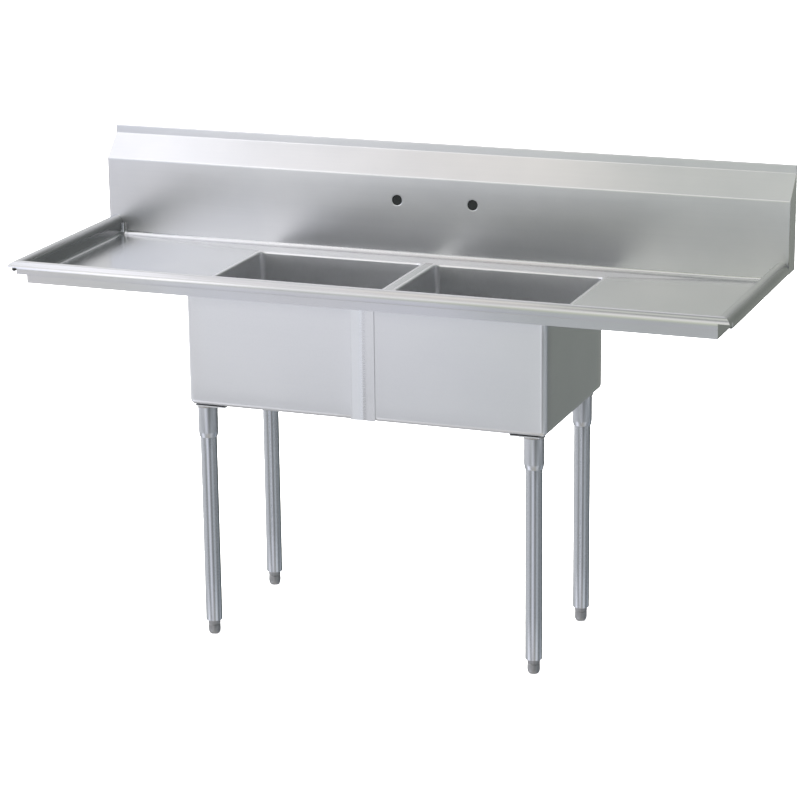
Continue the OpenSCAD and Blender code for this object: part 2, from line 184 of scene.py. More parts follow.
class SinkTubSizes(bpy.types.PropertyGroup):
    """Sizes of the tubs."""

    corner: length_of("Corner radius", "Outside radius of the coved corners", 0.015, 0.008, 0.03)
    edge: length_of("Edge radius", "Radius where the deck turns down into the bowl", 0.005, 0.002, 0.01)
    recess: length_of("Drain recess", "Radius of the recess pressed round the drain", 0.059, 0.05, 0.07)
    recess_depth: length_of(
        "Recess depth", "Depth of the recess below the flat floor", 0.0025, 0.001, 0.005)
    fall: length_of("Floor fall", "Fall of the floor from the walls to the recess", 0.0009, 0.0, 0.004)


class SinkSteelLook(bpy.types.PropertyGroup):
    """Colours of the finishes."""

    sheet_colour: colour_of("Sheet", "Reflection colour of the polished sheet", (0.70, 0.705, 0.715))
    tube_colour: colour_of("Tube", "Reflection colour of the leg tube", (0.65, 0.665, 0.69))
    foot_colour: colour_of("Feet", "Reflection colour of the bullet feet", (0.42, 0.42, 0.425))
    floor_colour: colour_of("Floor", "Colour of the stage floor", (0.90, 0.90, 0.90))


# ---------------------------------------------------------------- sheet maths


def turned_line(points, radii, steps=8):
    """Line through the points with each inner corner turned on an arc.

    At a corner the arc touches both legs at radius * tan(turn / 2) from it, and
    its centre lies on the bisector at radius / cos(turn / 2)."""
    points = np.asarray(points, float)
    out = [points[:1]]
    for before, corner, after, radius in zip(points[:-2], points[1:-1], points[2:], radii):
        a = (before - corner) / np.linalg.norm(before - corner)
        b = (after - corner) / np.linalg.norm(after - corner)
        half = 0.5 * math.acos(float(np.clip(-a @ b, -1.0, 1.0)))
        if radius <= 0.0 or half < 1e-4:
            out.append(corner[None])
            continue
        reach = radius * math.tan(half)
        mid = (a + b) / np.linalg.norm(a + b)
        centre = corner + mid * radius / math.cos(half)
        start = corner + a * reach - centre
        end = corner + b * reach - centre
        t = np.linspace(0.0, 1.0, steps + 1)[:, None]
        turn = 2.0 * half
        out.append(centre + (np.sin((1.0 - t) * turn) * start + np.sin(t * turn) * end) / math.sin(turn))
    out.append(points[-1:])
    return np.concatenate(out)


def spread(line, gap):
    """The same line with extra points, so that no leg is longer than the gap."""
    line = np.asarray(line, float)
    legs = np.linalg.norm(np.diff(line, axis=0), axis=1)
    parts = [np.linspace(p, q, max(1, math.ceil(leg / gap)), endpoint=False)
             for p, q, leg in zip(line[:-1], line[1:], legs)]
    return np.concatenate(parts + [line[-1:]])


def grid_quads(rows, cols, wrap_rows=False, wrap_cols=False):
    """Quads of a grid numbered row by row, joined round where it wraps."""
    r = np.arange(rows if wrap_rows else rows - 1)[:, None]
    c = np.arange(cols if wrap_cols else cols - 1)[None, :]
    r1, c1 = (r + 1) % rows, (c + 1) % cols
    corners = np.broadcast_arrays(r * cols + c, r * cols + c1, r1 * cols + c1, r1 * cols + c)
    return np.stack(corners, axis=-1).reshape(-1, 4)


def vertex_normals(verts, quads):
    """Area weighted mean of the face normals round each vertex, made unit."""
    p = verts[quads]
    face = np.cross(p[:, 2] - p[:, 0], p[:, 3] - p[:, 1])
    total = np.zeros_like(verts)
    np.add.at(total, quads.reshape(-1), np.repeat(face, 4, axis=0))
    return total / np.maximum(np.linalg.norm(total, axis=1, keepdims=True), 1e-12)


def skinned(verts, quads, thick, seen, inner=None):
    """Closed sheet: the seen surface, a copy of it set back by the thickness, and
    walls along every edge that only one quad uses.

    seen gives the direction the surface should face, for all of it or point by
    point. The copy lies along the normals unless its own points are given."""
    verts = verts.reshape(-1, 3)
    merged, first, index = np.unique(np.round(verts, 7), axis=0, return_index=True, return_inverse=True)
    quads = index.reshape(-1)[quads]
    facing = seen(merged) if callable(seen) else np.asarray(seen, float)
    normals = vertex_normals(merged, quads)
    if (normals * facing).sum() < 0.0:
        quads, normals = quads[:, ::-1], -normals
    under = merged - thick * normals if inner is None else inner.reshape(-1, 3)[first]
    count = len(merged)
    edges = np.stack([quads, np.roll(quads, -1, axis=1)], axis=-1).reshape(-1, 2)
    edges = edges[edges[:, 0] != edges[:, 1]]
    _, once, uses = np.unique(np.sort(edges, axis=1), axis=0, return_index=True, return_counts=True)
    rim = edges[once[uses == 1]]
    walls = np.stack([rim[:, 1], rim[:, 0], rim[:, 0] + count, rim[:, 1] + count], axis=-1)
    return np.concatenate([merged, under]), np.concatenate([quads, quads[:, ::-1] + count, walls])


def set_back(profile, thick, hollow):
    """Profile moved by the thickness towards the hollow it bends round, with
    its corners kept sharp: each point moves along the mean of its two leg
    normals, divided by the cosine of half the turn."""
    leg = np.diff(profile, axis=0)
    normal = np.stack([leg[:, 1], -leg[:, 0]], axis=-1) / np.linalg.norm(leg, axis=1, keepdims=True)
    if (normal * (0.5 * (profile[1:] + profile[:-1]) - hollow)).sum() < 0.0:
        normal = -normal
    before, after = np.vstack([normal[:1], normal]), np.vstack([normal, normal[-1:]])
    mean = before + after
    return profile - thick * 2.0 * mean / (mean * mean).sum(axis=1, keepdims=True)


def whole_faces(quads):
    """Quads and the triangles left where a quad's neighbouring corners are one.

    A face with two corners the same keeps its other three; one with fewer than
    three different corners, or with opposite corners the same, is left out."""
    same = quads == np.roll(quads, -1, axis=1)
    crossed = (quads[:, 0] == quads[:, 2]) | (quads[:, 1] == quads[:, 3])
    count = same.sum(axis=1)
    folded = quads[(count == 1) & ~crossed]
    start = np.argmax(folded == np.roll(folded, -1, axis=1), axis=1)[:, None]
    triangles = np.take_along_axis(folded, (start + np.array([[1, 2, 3]])) % 4, axis=1)
    return quads[(count == 0) & ~crossed], triangles


def put_mesh(name, verts, quads, sharp_deg=30.0, outward=True):
    """Object at the origin from arrays, with its doubles merged, its normals
    pointing out and its edges sharp above an angle."""
    points = np.round(np.asarray(verts, float).reshape(-1, 3), 6)
    points, index = np.unique(points, axis=0, return_inverse=True)
    four, three = whole_faces(index.reshape(-1)[quads])
    mesh = bpy.data.meshes.new(name)
    mesh.vertices.add(len(points))
    mesh.vertices.foreach_set("co", points.astype(np.float32).reshape(-1))
    mesh.loops.add(four.size + three.size)
    corners = np.concatenate([four.reshape(-1), three.reshape(-1)]).astype(np.int32)
    mesh.loops.foreach_set("vertex_index", corners)
    mesh.polygons.add(len(four) + len(three))
    starts = np.concatenate([4 * np.arange(len(four)), four.size + 3 * np.arange(len(three))])
    mesh.polygons.foreach_set("loop_start", starts.astype(np.int32))
    mesh.update(calc_edges=True)
    mesh.validate()
    if outward:
        bm = bmesh.new()
        bm.from_mesh(mesh)
        bmesh.ops.recalc_face_normals(bm, faces=bm.faces)
        bm.to_mesh(mesh)
        bm.free()
    mesh.shade_smooth()
    mesh.set_sharp_from_angle(angle=math.radians(sharp_deg))
    piece = bpy.data.objects.new(name, mesh)
    bpy.context.scene.collection.objects.link(piece)
    return piece


def joined(*parts):
    """Arrays of several surfaces as one, with the quads renumbered."""
    shift, verts, quads = 0, [], []
    for v, q in parts:
        v = v.reshape(-1, 3)
        verts.append(v)
        quads.append(q + shift)
        shift += len(v)
    return np.concatenate(verts), np.concatenate(quads)


def swept(profile, stations, place):
    """Grid from a profile (u, v) carried along stations: place gives a point."""
    u, v = profile[:, 0][None, :], profile[:, 1][None, :]
    s = np.asarray(stations, float)[:, None]
    return place(u, v, s), grid_quads(len(stations), len(profile))


def along_x(u, v, s):
    """A profile of Y and height carried along X."""
    x = s + 0.0 * u
    return np.stack([x, u + 0.0 * x, v + 0.0 * x], axis=-1)


def along_y(u, v, s):
    """A profile of X and height carried along Y."""
    y = s + 0.0 * u
    return np.stack([u + 0.0 * y, y, v + 0.0 * y], axis=-1)


def turned(profile, x, y, segments=72, wrap=False):
    """Surface of revolution: radius and height from the profile, carried round
    the vertical axis at (x, y)."""
    a = np.linspace(0.0, 2.0 * math.pi, segments, endpoint=False)[None, :]
    r, z = profile[:, 0][:, None], profile[:, 1][:, None]
    verts = np.stack([x + r * np.cos(a), y + r * np.sin(a), z + 0.0 * a], axis=-1)
    return verts, grid_quads(len(profile), segments, wrap_rows=wrap, wrap_cols=True)


def make_piece(name, surface, look, node=None, body="sink", sharp_deg=30.0):
    """Makes a piece from a surface, gives it its finish in a material slot and the body it rides on, and
    hides the CAD node it stands for."""
    piece = put_mesh(name, *surface, sharp_deg)
    piece.data.materials.append(finish(look))
    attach(piece, body)
    if node is not None:
        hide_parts(node)


def paint_node(node, look):
    """A CAD node keeps its shape and takes a finish in each of its slots."""
    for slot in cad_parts[node].material_slots:
        slot.material = finish(look)


# ---------------------------------------------------------------- finishes


class Wire:
    """A shader socket that adds Math nodes when values are worked on."""

    def __init__(self, finish, socket):
        self.finish, self.socket = finish, socket

    def math(self, operation, *others):
        """One Math node on this value and the others."""
        values = dict(enumerate((self,) + others))
        return self.finish.node("ShaderNodeMath", "Value", values, operation=operation)

    def __add__(self, other):
        return self.math("ADD", other)

    __radd__ = __add__

    def __mul__(self, other):
        return self.math("MULTIPLY", other)

    __rmul__ = __mul__

    def __sub__(self, other):
        return self.math("SUBTRACT", other)

    def __rsub__(self, other):
        values = {0: other, 1: self}
        return self.finish.node("ShaderNodeMath", "Value", values, operation="SUBTRACT")

    def __abs__(self):
        return self.math("ABSOLUTE")

    def most(self, other):
        """The greater of the two."""
        return self.math("MAXIMUM", other)

    def least(self, other):
        """The smaller of the two."""
        return self.math("MINIMUM", other)

    def clamped(self):
        """The value kept between 0 and 1."""
        return self.most(0.0).least(1.0)

    def ramp(self, start, end, to_low=0.0, to_high=1.0):
        """Smooth change from to_low to to_high between start and end, clamped."""
        values = {0: self, 1: start, 2: end, 3: to_low, 4: to_high}
        return self.finish.node("ShaderNodeMapRange", "Result", values, interpolation_type="SMOOTHSTEP")


class Finish:
    """One procedural material, built through a single node method."""

    def __init__(self, name, library=None):
        world = library is not None
        self.material = (library if world else bpy.data.materials).new(name)
        self.material.use_nodes = True
        self.tree = self.material.node_tree
        self.tree.nodes.clear()
        self.end = "ShaderNodeOutputWorld" if world else "ShaderNodeOutputMaterial"

    def node(self, kind, output, values=None, **settings):
        """Adds a node of a type, sets its settings first, then fills its sockets
        with values or links. Returns the named output as a Wire, or one Wire for
        each output of a tuple."""
        made = self.tree.nodes.new(kind)
        for key, value in settings.items():
            setattr(made, key, value)
        for key, value in (values or {}).items():
            if isinstance(value, Wire):
                self.tree.links.new(value.socket, made.inputs[key])
            else:
                made.inputs[key].default_value = value
        if isinstance(output, tuple):
            return [Wire(self, made.outputs[key]) for key in output]
        return Wire(self, made.outputs[output])

    def place(self):
        """Object coordinates: metres in the sink's own frame."""
        return self.node("ShaderNodeTexCoord", "Object")

    def axes(self, vector):
        """The three numbers of a vector."""
        return self.node("ShaderNodeSeparateXYZ", ("X", "Y", "Z"), {0: vector})

    def stretched(self, vector, scale, shift=(0.0, 0.0, 0.0)):
        """The vector scaled along each axis, for grain that runs one way."""
        return self.node("ShaderNodeMapping", "Vector",
                         {"Vector": vector, "Scale": scale, "Location": shift})

    def askew(self, vector, angles):
        """The vector turned by three angles, for scratches that run askew."""
        return self.node("ShaderNodeMapping", "Vector", {"Vector": vector, "Rotation": angles})

    def noise(self, vector, scale=1.0, detail=4.0, rough=0.55):
        """Noise from 0 to 1 at a point, finer with scale and detail."""
        return self.node("ShaderNodeTexNoise", "Fac",
                         {"Vector": vector, "Scale": scale, "Detail": detail, "Roughness": rough})

    def tint(self, factor, first, second):
        """Colour mixed from first to second by a factor."""
        return self.node("ShaderNodeMix", 2, {0: factor, 6: first, 7: second}, data_type="RGBA")

    def bump(self, height, strength, distance, under=None):
        """Normal tipped by the slope of a height, on top of another normal."""
        values = {"Height": height, "Strength": strength, "Distance": distance}
        if under is not None:
            values["Normal"] = under
        return self.node("ShaderNodeBump", "Normal", values)

    def shown(self, shader):
        """Sends a shader to the output node and returns the finished material."""
        self.node(self.end, (), {"Surface": shader})
        return self.material

    def surface(self, **sockets):
        """Principled shader with its sockets filled, sent to the output."""
        values = {key.replace("_", " "): value for key, value in sockets.items()}
        return self.shown(self.node("ShaderNodeBsdfPrincipled", "BSDF", values))


def tone(colour, gain=1.0, cool=0.0):
    """RGBA from a colour with a gain and a shift towards blue."""
    r, g, b = colour
    return (min(r * gain * (1.0 - cool), 1.0), min(g * gain, 1.0), min(b * gain * (1.0 + cool), 1.0), 1.0)


def brushed_steel(name, colour, along="x", rough=0.30, grain=1.0, wave=1.0, weld=None):
    """Stainless sheet brushed one way.

    Fine grain is noise stretched along the brushing and squeezed across it. It
    moves the roughness, the colour and a shallow bump. A slow noise makes the
    sheet wander by a fraction of a degree, as pressed sheet does. Smears and two
    sets of fine scratches change the roughness. Ground weld bands, which lie
    within a few millimetres of a rectangle round each bowl, are duller and
    lighter. Where the grain runs level, lying faces take the grain along X."""
    f = Finish(name)
    place = f.place()
    x, y, _ = f.axes(place)
    run = {"x": (7.0, 900.0, 900.0), "y": (900.0, 7.0, 900.0),
           "level": (7.0, 7.0, 900.0)}[along]
    fine = f.noise(f.stretched(place, run), detail=3.0, rough=0.6)
    broad_run = tuple(0.16 * v if v > 100.0 else 0.35 * v for v in run)
    broad = f.noise(f.stretched(place, broad_run, (3.1, 1.7, 5.3)), detail=5.0, rough=0.6)
    if along == "level":
        _, _, up = f.axes(f.node("ShaderNodeNewGeometry", "Normal"))
        lying = abs(up).ramp(0.55, 0.85)
        flat_run = (7.0, 900.0, 900.0)
        flat = f.noise(f.stretched(place, flat_run), detail=3.0, rough=0.6)
        fine = fine * (1.0 - lying) + flat * lying
    cloud = f.noise(place, scale=5.5, detail=3.0, rough=0.5)
    smear = f.noise(f.stretched(place, (9.0, 14.0, 11.0), (0.4, 2.2, 1.1)), detail=6.0, rough=0.65)
    scratch_a = f.noise(f.stretched(f.askew(place, (0.5, 0.35, 0.62)), (420.0, 5.0, 420.0)), detail=1.0)
    scratch_b = f.noise(f.stretched(f.askew(place, (-0.45, 0.2, -0.9)), (5.0, 380.0, 380.0)), detail=1.0)
    scratches = (scratch_a.ramp(0.70, 0.76) + scratch_b.ramp(0.71, 0.77)).clamped()
    streak = (fine - 0.5) * 0.22 * grain + (broad - 0.5) * 0.20 * grain
    tone_mix = (streak + (cloud - 0.5) * 0.8 + 0.5).clamped()
    shade = f.tint(tone_mix, tone(colour, 0.90, 0.012), tone(colour, 1.07, -0.006))
    roughness = (rough + (fine - 0.5) * 0.07 * grain + (broad - 0.5) * 0.05 * grain
                 + (smear - 0.5) * 0.07 + scratches * 0.02)
    if weld is not None:
        cx, cy, ax, ay = weld
        side = abs(abs(x) - cx) - ax
        away = side.most(abs(y - cy) - ay)
        band = abs(away + 0.002).ramp(0.007, 0.015, 1.0, 0.0)
        swirl = f.noise(place, scale=240.0, detail=3.0)
        shade = f.tint(band * (0.35 + swirl * 0.4), shade, tone(colour, 1.10, 0.0))
        roughness = roughness + band * (0.03 + swirl * 0.08)
    slow = f.noise(f.stretched(place, (2.6, 3.2, 4.2)), detail=1.0, rough=0.4)
    normal = f.bump(slow, 0.55 * wave, 0.004)
    normal = f.bump(fine * 0.6 + broad * 0.2 + scratches * 0.05, 0.05 * grain, 0.0003, normal)
    return f.surface(Base_Color=shade, Metallic=1.0, Roughness=roughness.most(0.08).least(0.8),
                     Normal=normal)


def cast_metal(name, colour, rough=0.42, grainy=1.0):
    """Dull cast or machined metal: pitted bump, mottled colour and roughness."""
    f = Finish(name)
    place = f.place()
    pits = f.noise(place, scale=900.0, detail=3.0)
    rings = f.noise(f.stretched(place, (6.0, 6.0, 1500.0)), detail=2.0)
    mottle = f.noise(place, scale=60.0, detail=4.0)
    shade = f.tint((mottle * 0.6 + rings * 0.4).ramp(0.25, 0.75), tone(colour, 0.78), tone(colour, 1.15))
    normal = f.bump(pits * 0.7 + rings * 0.6, 0.22 * grainy, 0.0004)
    roughness = rough + (mottle - 0.5) * 0.25 + (rings - 0.5) * 0.12
    return f.surface(Base_Color=shade, Metallic=1.0, Roughness=roughness.most(0.12), Normal=normal)


def rubber(name):
    """Black rubber with a chalky bloom and a fine grain."""
    f = Finish(name)
    place = f.place()
    bloom = f.noise(place, scale=120.0, detail=5.0).ramp(0.45, 0.75)
    grain = f.noise(place, scale=1500.0, detail=2.0)
    shade = f.tint(bloom, (0.018, 0.018, 0.019, 1.0), (0.06, 0.06, 0.062, 1.0))
    return f.surface(Base_Color=shade, Metallic=0.0, Roughness=0.62 + bloom * 0.2,
                     Normal=f.bump(grain, 0.2, 0.0003))


def pale_floor(name, colour):
    """Plain pale floor with the faintest mottle."""
    f = Finish(name)
    place = f.place()
    mottle = f.noise(place, scale=1.2, detail=3.0)
    shade = f.tint(mottle, tone(colour, 0.99), tone(colour, 1.01))
    return f.surface(Base_Color=shade, Metallic=0.0, Roughness=0.75 + (mottle - 0.5) * 0.1,
                     Normal=f.bump(f.noise(place, scale=400.0, detail=2.0), 0.03, 0.0005))


def studio_surround():
    """World lit by a few wide soft banks, plain white to the camera.

    Each bank adds colour * exp((cos a - 1) / width ** 2), where a is the angle
    between the looking direction and the middle of the bank."""
    f = Finish("studio", bpy.data.worlds)
    look = f.node("ShaderNodeTexCoord", "Generated")
    total = SURROUND_BASE
    for azimuth, elevation, width, strength in SURROUND:
        a, e = math.radians(azimuth), math.radians(elevation)
        middle = (math.sin(a) * math.cos(e), -math.cos(a) * math.cos(e), math.sin(e))
        near = f.node("ShaderNodeVectorMath", "Value", {0: look, 1: middle}, operation="DOT_PRODUCT")
        tight = 1.0 / math.radians(width) ** 2
        weight = ((near - 1.0) * tight).math("EXPONENT")
        bank = f.node("ShaderNodeVectorMath", "Vector", {0: strength, "Scale": weight}, operation="SCALE")
        total = f.node("ShaderNodeVectorMath", "Vector", {0: bank, 1: total}, operation="ADD")
    lit = f.node("ShaderNodeBackground", "Background", {"Color": total, "Strength": 1.0})
    plain = f.node("ShaderNodeBackground", "Background", {"Color": (1.0, 1.0, 1.0, 1.0), "Strength": 1.0})
    seen = f.node("ShaderNodeLightPath", "Is Camera Ray")
    mixed = f.node("ShaderNodeMixShader", "Shader", {0: seen, 1: lit, 2: plain})
    return f.shown(mixed)


def soft_panels(scene):
    """Square soft lights that show in the steel. A panel of area A that looks
    as bright as strength s takes a power of s * pi * A."""
    for number, (axis, place, first, second, strength) in enumerate(PANELS):
        light = bpy.data.lights.new("soft_panel_%d" % number, "AREA")
        wide, tall = first[1] - first[0], second[1] - second[0]
        peak = max(strength)
        light.shape, light.size, light.size_y = "RECTANGLE", wide, tall
        light.energy = peak * math.pi * wide * tall
        light.color = tuple(s / peak for s in strength)
        lamp = bpy.data.objects.new(light.name, light)
        middle = (0.5 * sum(first), 0.5 * sum(second))
        if axis == "z":
            lamp.location = (middle[0], middle[1], place)
        else:
            lamp.location = (middle[0], place, middle[1])
            lamp.rotation_euler = (math.radians(90.0), 0.0, 0.0)
        lamp.visible_camera = False
        scene.collection.objects.link(lamp)


def gap_shade(name):
    """Painted shade: near black, with a faint mottle, standing in for the unlit gap between the splash and
    the wall.
    """
    f = Finish(name)
    mottle = f.noise(f.place(), scale=90.0, detail=3.0)
    shade = f.tint(mottle, (0.010, 0.012, 0.012, 1.0), (0.016, 0.018, 0.018, 1.0))
    return f.surface(Base_Color=shade, Metallic=0.0, Roughness=0.9)


FINISHES = {}


def finish(name):
    """The finish of that name, made the first time it is asked for."""
    look = bpy.context.scene.sink_look
    sheet, tube, foot = tuple(look.sheet_colour), tuple(look.tube_colour), tuple(look.foot_colour)
    weld = (TUB_X, TUB_Y, 0.5 * float(TUB_HI[0] - TUB_LO[0]) - TUB_FLANGE,
            0.5 * float(TUB_HI[1] - TUB_LO[1]) - TUB_FLANGE)
    recipes = {
        "sheet_x": lambda n: brushed_steel(n, sheet, "x", 0.23, weld=weld),
        "sheet_y": lambda n: brushed_steel(n, tone(sheet, 0.85)[:3], "y", 0.20),
        "splash_x": lambda n: brushed_steel(n, tone(sheet, 1.14)[:3], "x", 0.33, wave=1.3),
        "tub_level": lambda n: brushed_steel(n, tone(sheet, 1.14)[:3], "level", 0.27, weld=weld),
        "tube_level": lambda n: brushed_steel(n, tube, "level", 0.24, grain=0.8, wave=0.2),
        "mill": lambda n: cast_metal(n, (0.42, 0.425, 0.43), 0.45),
        "socket": lambda n: brushed_steel(n, tube, "level", 0.33, grain=1.2, wave=0.3),
        "foot": lambda n: cast_metal(n, foot, 0.40),
        "plated": lambda n: cast_metal(n, (0.55, 0.55, 0.55), 0.22, 0.5),
        "polished": lambda n: brushed_steel(n, tone(sheet, 1.1)[:3], "level", 0.16, grain=0.5, wave=0.1),
        "rubber": rubber,
        "gap_shade": gap_shade,
        "weld_bead": lambda n: cast_metal(n, (0.50, 0.49, 0.48), 0.38, 1.4),
        "floor": lambda n: pale_floor(n, tuple(look.floor_colour)),
    }
    if name not in FINISHES:
        FINISHES[name] = recipes[name](name)
    return FINISHES[name]


# ---------------------------------------------------------------- pieces


def rim_profile(sizes):
    """Rolled rim in section, u in from the outer edge and v the height: hem, lip,
    half round roll and pan wall."""
    roll = WALL_Y - FRONT_Y
    r = 0.5 * roll
    lip_z = RIM_Z - sizes.lip
    a = np.linspace(math.pi, 0.0, 25)
    arc = np.stack([r + r * np.cos(a), RIM_Z - r + r * np.sin(a)], axis=-1)
    lip = turned_line([(sizes.hem, lip_z), (0.0, lip_z), (0.0, RIM_Z - r)], [0.0022], 5)
    wall = np.array([(roll, v) for v in np.linspace(RIM_Z - r, SKIRT_Z, 6)[1:]])
    return np.concatenate([lip[:-1], arc, wall])


def rim_shell(sizes, place, ends):
    """Rim as one closed sheet. Its lip and the outer foot of its roll stop short
    of a mitred end, so those quads are left out of the end spans."""
    profile = rim_profile(sizes)
    r = 0.5 * (WALL_Y - FRONT_Y)
    hollow = np.array([r, RIM_Z - r])
    inside = set_back(profile, sizes.sheet, hollow)
    start, end = ends
    cut = sizes.relief
    stations = np.array([0.0] + ([cut] if start else []) + list(np.linspace(0.1, 0.9, 9))
                        + ([1.0 - cut] if end else []) + [1.0])
    grid = place(profile[:, 0][None, :], profile[:, 1][None, :], stations)
    under = place(inside[:, 0][None, :], inside[:, 1][None, :], stations)
    quads = grid_quads(len(stations), len(profile)).reshape(len(stations) - 1, len(profile) - 1, 4)
    mid = 0.5 * (profile[:-1] + profile[1:])
    low_lip = (mid[:, 0] < r) & (mid[:, 1] < RIM_Z - r + 0.005)
    keep = np.ones(quads.shape[:2], bool)
    if start:
        keep[0, low_lip] = False
    if end:
        keep[-1, low_lip] = False
    out = (grid - under).reshape(-1, 3)
    order = np.unique(np.round(grid.reshape(-1, 3), 7), axis=0, return_index=True)[1]
    return skinned(grid, quads[keep], sizes.sheet, out[order], under)


class SINK_OT_rims(bpy.types.Operator):
    """Makes the rolled front rim and the two rolled end rims with their pan walls"""

    bl_idname = "sink.make_rims"
    bl_label = "Rolled rims"

    def execute(self, context):
        sizes = context.scene.sink_sheet

        def front(u, v, s):
            """Along X; a mitred end lies on the 45 degree line x = end - u."""
            span = s[:, None]
            full = HALF_X * 2.0
            x = -HALF_X + full * span
            x = np.where(span == 0.0, -HALF_X + u, np.where(span == 1.0, HALF_X - u, x + 0.0 * u))
            cut = np.maximum(u, sizes.relief)
            x = np.where(np.isclose(span, sizes.relief), cut - HALF_X, x)
            x = np.where(np.isclose(span, 1.0 - sizes.relief), HALF_X - cut, x)
            return np.stack([x, FRONT_Y + u + 0.0 * x, v + 0.0 * x], axis=-1)

        make_piece("front_rim_sheet", rim_shell(sizes, front, (True, True)), "sheet_x",
                   "front_rim")
        for side, sign in SIDES:
            def end(u, v, s, sign=sign):
                """Along Y from the mitre at the front to the splash."""
                span = s[:, None]
                y = FRONT_Y + (SPLASH_Y - FRONT_Y) * span
                y = np.where(span == 0.0, FRONT_Y + u, y + 0.0 * u)
                y = np.where(np.isclose(span, sizes.relief), FRONT_Y + np.maximum(u, sizes.relief), y)
                return np.stack([sign * (HALF_X - u) + 0.0 * y, y, v + 0.0 * y], axis=-1)

            make_piece(side + "_end_rim_sheet", rim_shell(sizes, end, (True, False)), "sheet_y",
                       side + "_end_rim")
        return {"FINISHED"}


def hole_patch(x, z, half, radius):
    """Square patch of splash round a faucet hole: radius goes from the square's
    edge to the hole, and the last ring turns in like a punched edge."""
    a = np.linspace(0.0, 2.0 * math.pi, 64, endpoint=False)[None, :]
    square = half / np.maximum(abs(np.cos(a)), abs(np.sin(a)))
    t = np.array([0.0, 0.35, 0.7, 0.92, 1.0, 1.0, 1.0])[:, None]
    r = square + (radius + 0.0009 - square) * t
    r[-2:] = radius + np.array([[0.0003], [0.0]])
    dip = np.array([0.0, 0.0, 0.0, 0.0, 0.0, 0.0003, 0.0009])[:, None] + 0.0 * a
    verts = np.stack([x + r * np.cos(a), SPLASH_Y + dip, z + r * np.sin(a)], axis=-1)
    return verts, grid_quads(7, 64, wrap_cols=True)[:, ::-1]


class SINK_OT_splash(bpy.types.Operator):
    """Makes the backsplash: face with faucet holes, sloped face, top band and hem"""

    bl_idname = "sink.make_splash"
    bl_label = "Backsplash"

    def execute(self, context):
        sizes = context.scene.sink_sheet
        band_z = SPLASH_TOP - sizes.band
        slope_z = band_z - sizes.slope
        band_y = SPLASH_Y + sizes.slope
        tap_z = RIM_Z + sizes.tap_rise
        half = PATCH_HALF
        line = turned_line([(SPLASH_Y, SKIRT_Z), (SPLASH_Y, slope_z), (band_y, band_z),
                            (band_y, SPLASH_TOP), (BACK_Y, SPLASH_TOP)],
                           [sizes.bend * 1.6, sizes.bend, 0.0022], 8)
        face = line[(line[:, 0] < SPLASH_Y + 1e-6)][-1]
        share = half * np.tan(np.radians(np.linspace(-45.0, 45.0, 17)))
        lip_z = RIM_Z - sizes.lip
        rows = np.concatenate([[SKIRT_Z, lip_z, 0.5 * (lip_z + tap_z - half)], tap_z + share])
        foot = np.stack([np.full(len(rows), SPLASH_Y), rows], axis=-1)
        upper = line[np.argmax(np.all(line == face, axis=1)):]
        profile = np.concatenate([foot, upper])
        inner = HALF_X - sizes.sheet
        clear = HALF_X - (WALL_Y - FRONT_Y)
        tap_x = 0.5 * sizes.tap_centres
        wing = np.linspace(clear, tap_x + half, 8)
        stations = np.concatenate([[-inner], -wing[:-1], share - tap_x,
                                   np.linspace(half - tap_x, tap_x - half, 4)[1:-1], share + tap_x,
                                   wing[::-1][1:], [inner]])
        grid, quads = swept(profile, stations, along_x)
        middle = grid.reshape(-1, 3)[quads].mean(axis=1)
        gone = (abs(abs(middle[:, 0]) - tap_x) < half) & (abs(middle[:, 2] - tap_z) < half)
        gone |= (abs(middle[:, 0]) > clear) & (middle[:, 2] < lip_z)
        verts, quads = joined((grid, quads[~gone]),
                              hole_patch(-tap_x, tap_z, half, 0.5 * sizes.tap_hole),
                              hole_patch(tap_x, tap_z, half, 0.5 * sizes.tap_hole))
        make_piece("backsplash_sheet", skinned(verts, quads, sizes.sheet, (0.0, -1.0, 0.2)), "splash_x",
                   "backsplash")
        for side, _ in SIDES:
            paint_node(side + "_splash_cap", "sheet_y")
        return {"FINISHED"}


